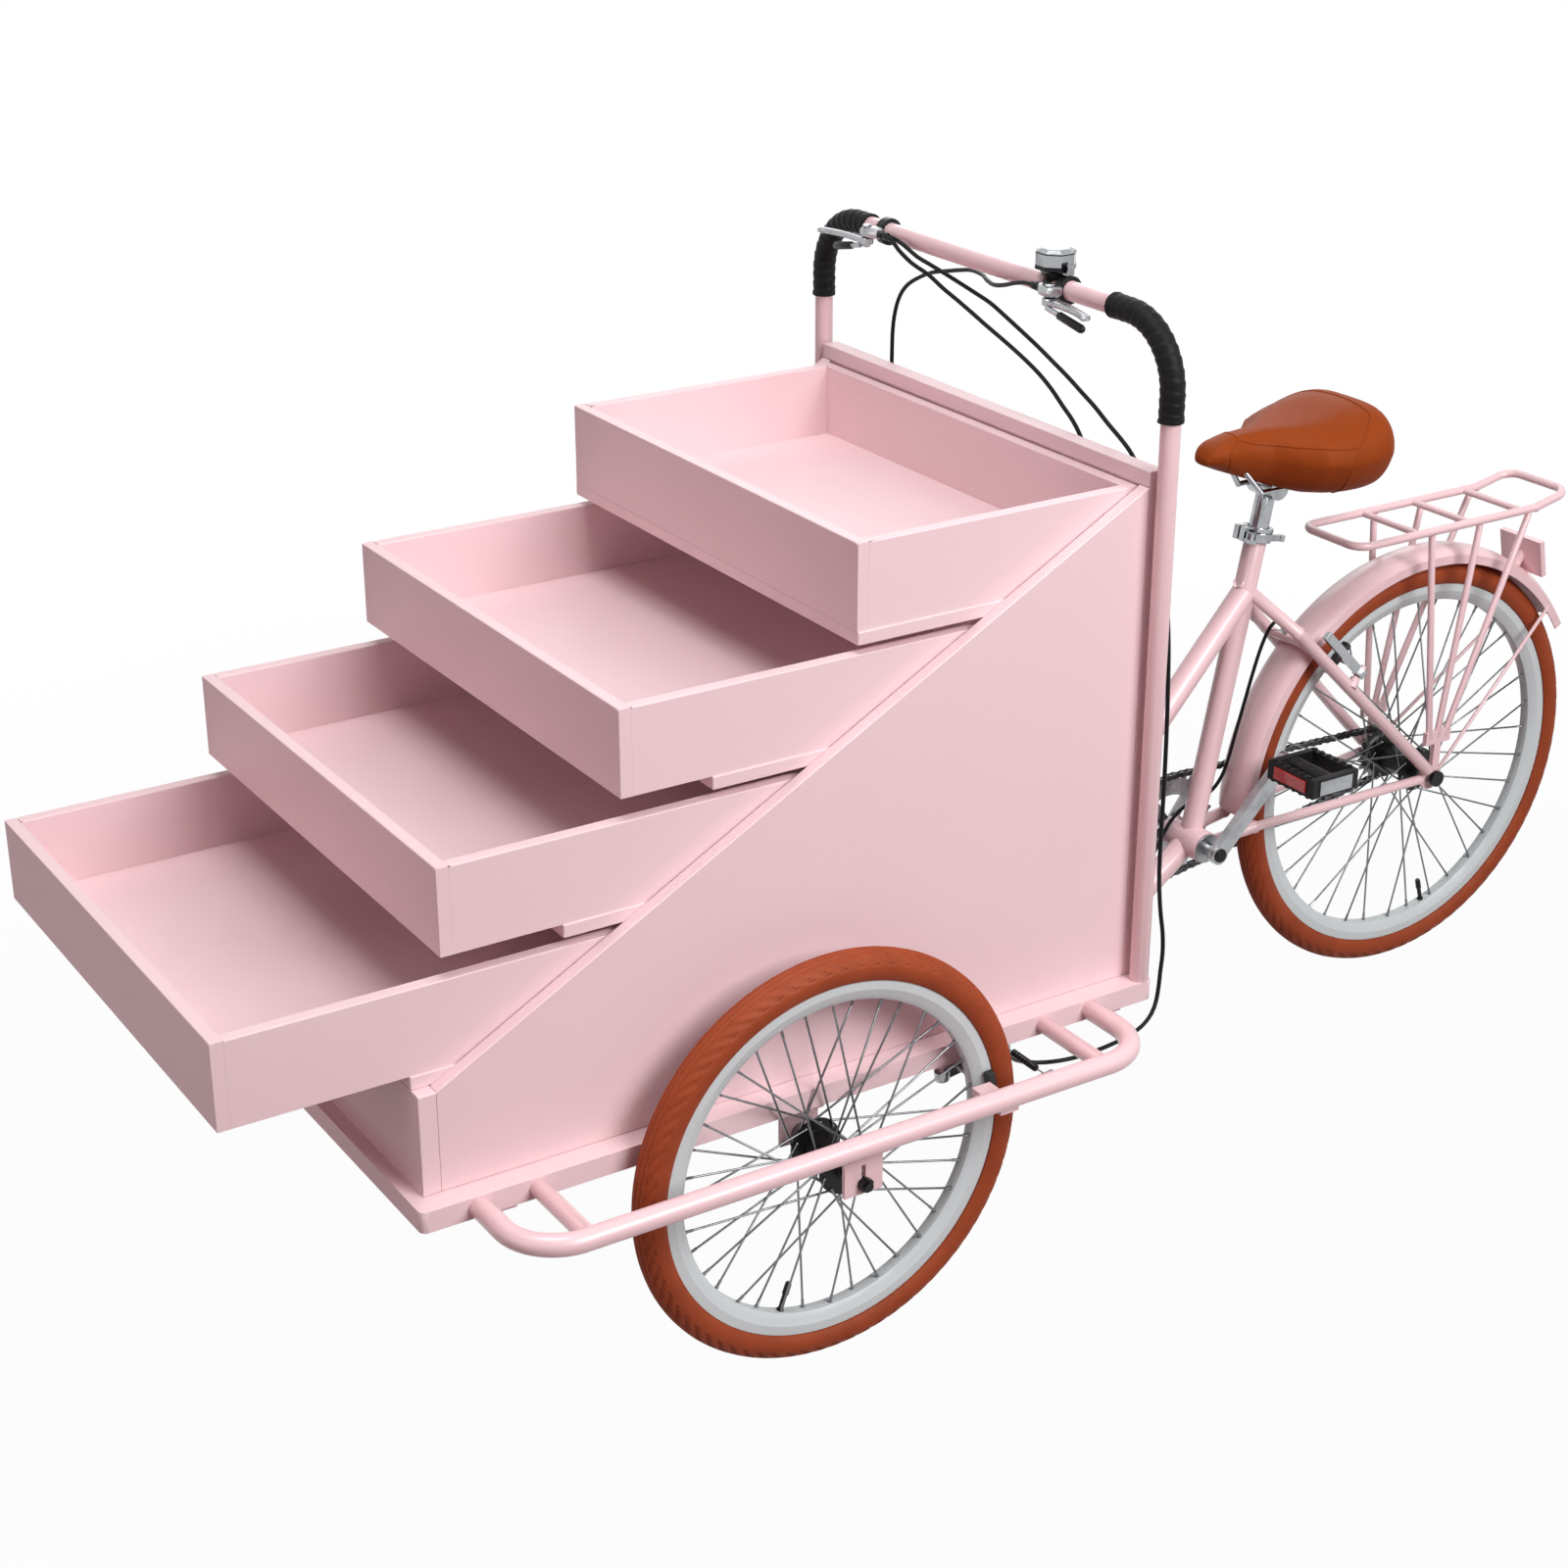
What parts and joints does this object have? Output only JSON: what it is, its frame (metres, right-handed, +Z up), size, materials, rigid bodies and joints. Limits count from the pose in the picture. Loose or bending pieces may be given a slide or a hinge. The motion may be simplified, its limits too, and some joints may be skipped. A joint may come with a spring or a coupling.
{
  "type": "bicycle food cart",
  "caption": "Front-load cargo tricycle with a stepped box of slide-out serving trays, U-shaped push bar, spoked wheels, rim brakes and a pedal-driven bicycle rear half.",
  "frame": {"origin": "on the ground, in the middle of the part's length and width, with the trays as pictured", "axes": "+Z up, +Y towards the rear wheel, +X towards the cart's left side"},
  "size_m": [0.934, 2.1245, 1.1139],
  "materials": {
    "painted_board": "satin paint",
    "painted_steel": "satin powder coat",
    "grip_tape": "wound tape",
    "silver_alloy": "brushed",
    "chrome": "polished",
    "cable_black": "satin",
    "zinc_steel": "zinc plated",
    "hub_black": "satin black",
    "rim_white": "satin",
    "tan_tyre": "matte",
    "spoke_steel": "bright",
    "tan_leather": "smooth",
    "pedal_black": "matte"
  },
  "bodies": {
    "cart": {"platform": "painted_board", "chassis": "painted_steel", "side_panel_left": "painted_board", "side_panel_right": "painted_board", "front_panel": "painted_board", "back_panel": "painted_board", "shelves": "painted_board", "handlebar": "painted_steel", "grip_left": "grip_tape", "grip_right": "grip_tape", "lever_perches": "silver_alloy", "bell": "chrome", "front_cables": "cable_black", "guard_left": "painted_steel", "guard_right": "painted_steel", "front_axles": "zinc_steel", "king_pin": "zinc_steel"},
    "tray_1": {"tray_1": "painted_board"},
    "tray_2": {"tray_2": "painted_board"},
    "tray_3": {"tray_3": "painted_board"},
    "tray_4": {"tray_4": "painted_board"},
    "lever_left": {"brake_lever_left": "silver_alloy"},
    "lever_right": {"brake_lever_right": "silver_alloy"},
    "bell_thumb": {"bell_thumb": "chrome"},
    "wheel_left": {"front_left_hub": "hub_black", "front_left_rim": "rim_white", "front_left_tyre": "tan_tyre", "front_left_spokes": "spoke_steel"},
    "wheel_right": {"front_right_hub": "hub_black", "front_right_rim": "rim_white", "front_right_tyre": "tan_tyre", "front_right_spokes": "spoke_steel"},
    "brake_left_outer": {"brake_left_outer": "silver_alloy"},
    "brake_left_inner": {"brake_left_inner": "silver_alloy"},
    "brake_right_outer": {"brake_right_outer": "silver_alloy"},
    "brake_right_inner": {"brake_right_inner": "silver_alloy"},
    "rear": {"rear_frame": "painted_steel", "frame_bearings": "zinc_steel", "seat_clamp": "chrome", "chain": "zinc_steel", "rear_axle": "zinc_steel", "fender": "painted_steel", "rack": "painted_steel", "rack_legs": "painted_steel", "reflector": "painted_steel", "rear_cable": "cable_black"},
    "clamp_lever": {"clamp_lever": "chrome"},
    "seat": {"seat_post": "chrome", "saddle": "tan_leather"},
    "crank": {"crank_set": "silver_alloy", "chainring": "silver_alloy"},
    "pedal_left": {"pedal_left": "pedal_black"},
    "pedal_right": {"pedal_right": "pedal_black"},
    "rear_wheel": {"rear_hub": "hub_black", "rear_rim": "rim_white", "rear_tyre": "tan_tyre", "rear_spokes": "spoke_steel"},
    "cog": {"freewheel_cog": "zinc_steel"},
    "brake_rear_left": {"brake_rear_left": "silver_alloy"},
    "brake_rear_right": {"brake_rear_right": "silver_alloy"}
  },
  "joints": [
    {"name": "steer", "type": "hinge", "parent": "cart", "child": "rear", "pos_m": [0, 0.12075, 0.225], "axis": [0, 0, 1], "range_deg": [-35, 35], "deforming": ["rear_cable"]},
    {"name": "tray_1_slide", "type": "slide", "parent": "cart", "child": "tray_1", "axis": [0, -1, 0], "range_m": [-0.199, 0.1]},
    {"name": "tray_2_slide", "type": "slide", "parent": "cart", "child": "tray_2", "axis": [0, -1, 0], "range_m": [-0.134, 0.16]},
    {"name": "tray_3_slide", "type": "slide", "parent": "cart", "child": "tray_3", "axis": [0, -1, 0], "range_m": [-0.105, 0.19]},
    {"name": "tray_4_slide", "type": "slide", "parent": "cart", "child": "tray_4", "axis": [0, -1, 0], "range_m": [0, 0.29]},
    {"name": "lever_left_pull", "type": "hinge", "parent": "cart", "child": "lever_left", "pos_m": [0.154, 0.00675, 1.067], "axis": [0, 0, 1], "range_deg": [0, 12], "stiffness_Nm_per_rad": 1.5},
    {"name": "lever_right_pull", "type": "hinge", "parent": "cart", "child": "lever_right", "pos_m": [-0.2, 0.00675, 1.067], "axis": [0, 0, -1], "range_deg": [0, 12], "stiffness_Nm_per_rad": 1.5},
    {"name": "bell_thumb_swing", "type": "hinge", "parent": "cart", "child": "bell_thumb", "pos_m": [0.127, 0.03475, 1.094], "axis": [0, 0, 1], "range_deg": [0, 35], "stiffness_Nm_per_rad": 0.05},
    {"name": "wheel_left_spin", "type": "hinge", "parent": "cart", "child": "wheel_left", "pos_m": [0.372, -0.41475, 0.241], "axis": [1, 0, 0], "continuous": true},
    {"name": "wheel_right_spin", "type": "hinge", "parent": "cart", "child": "wheel_right", "pos_m": [-0.372, -0.41475, 0.241], "axis": [1, 0, 0], "continuous": true},
    {"name": "brake_left_outer_swing", "type": "hinge", "parent": "cart", "child": "brake_left_outer", "pos_m": [0.414, -0.23848, 0.26577], "axis": [0, -0.1392, 0.9903], "range_deg": [0, 4]},
    {"name": "brake_left_inner_swing", "type": "hinge", "parent": "cart", "child": "brake_left_inner", "pos_m": [0.33, -0.23848, 0.26577], "axis": [0, 0.1392, -0.9903], "range_deg": [0, 4]},
    {"name": "brake_right_outer_swing", "type": "hinge", "parent": "cart", "child": "brake_right_outer", "pos_m": [-0.414, -0.23848, 0.26577], "axis": [0, 0.1392, -0.9903], "range_deg": [0, 4]},
    {"name": "brake_right_inner_swing", "type": "hinge", "parent": "cart", "child": "brake_right_inner", "pos_m": [-0.33, -0.23848, 0.26577], "axis": [0, -0.1392, 0.9903], "range_deg": [0, 4]},
    {"name": "rear_wheel_spin", "type": "hinge", "parent": "rear", "child": "rear_wheel", "pos_m": [0, 0.77075, 0.2915], "axis": [1, 0, 0], "continuous": true},
    {"name": "crank_spin", "type": "hinge", "parent": "rear", "child": "crank", "pos_m": [0, 0.39475, 0.268], "axis": [1, 0, 0], "continuous": true},
    {"name": "cog_spin", "type": "hinge", "parent": "rear", "child": "cog", "pos_m": [0, 0.77075, 0.2915], "axis": [1, 0, 0], "continuous": true},
    {"name": "pedal_left_spin", "type": "hinge", "parent": "crank", "child": "pedal_left", "pos_m": [0.109, 0.50034, 0.37734], "axis": [1, 0, 0], "continuous": true},
    {"name": "pedal_right_spin", "type": "hinge", "parent": "crank", "child": "pedal_right", "pos_m": [-0.109, 0.28916, 0.15866], "axis": [1, 0, 0], "continuous": true},
    {"name": "seat_height", "type": "slide", "parent": "rear", "child": "seat", "axis": [0, 0.1929, 0.9812], "range_m": [-0.02, 0.06]},
    {"name": "clamp_lever_open", "type": "hinge", "parent": "rear", "child": "clamp_lever", "pos_m": [0.017, 0.45073, 0.68492], "axis": [0, -0.1929, -0.9812], "range_deg": [0, 120]},
    {"name": "brake_rear_left_swing", "type": "hinge", "parent": "rear", "child": "brake_rear_left", "pos_m": [0.05, 0.60981, 0.4537], "axis": [0, -0.7099, -0.7043], "range_deg": [0, 4]},
    {"name": "brake_rear_right_swing", "type": "hinge", "parent": "rear", "child": "brake_rear_right", "pos_m": [-0.05, 0.60981, 0.4537], "axis": [0, 0.7099, 0.7043], "range_deg": [0, 4]}
  ],
  "couplings": [
    {"joint": "cog_spin", "follows": "crank_spin", "ratio": 2},
    {"joint": "brake_left_outer_swing", "follows": "lever_right_pull", "ratio": 0.333},
    {"joint": "brake_left_inner_swing", "follows": "lever_right_pull", "ratio": 0.333},
    {"joint": "brake_right_outer_swing", "follows": "lever_right_pull", "ratio": 0.333},
    {"joint": "brake_right_inner_swing", "follows": "lever_right_pull", "ratio": 0.333},
    {"joint": "brake_rear_left_swing", "follows": "lever_left_pull", "ratio": 0.333},
    {"joint": "brake_rear_right_swing", "follows": "lever_left_pull", "ratio": 0.333}
  ]
}
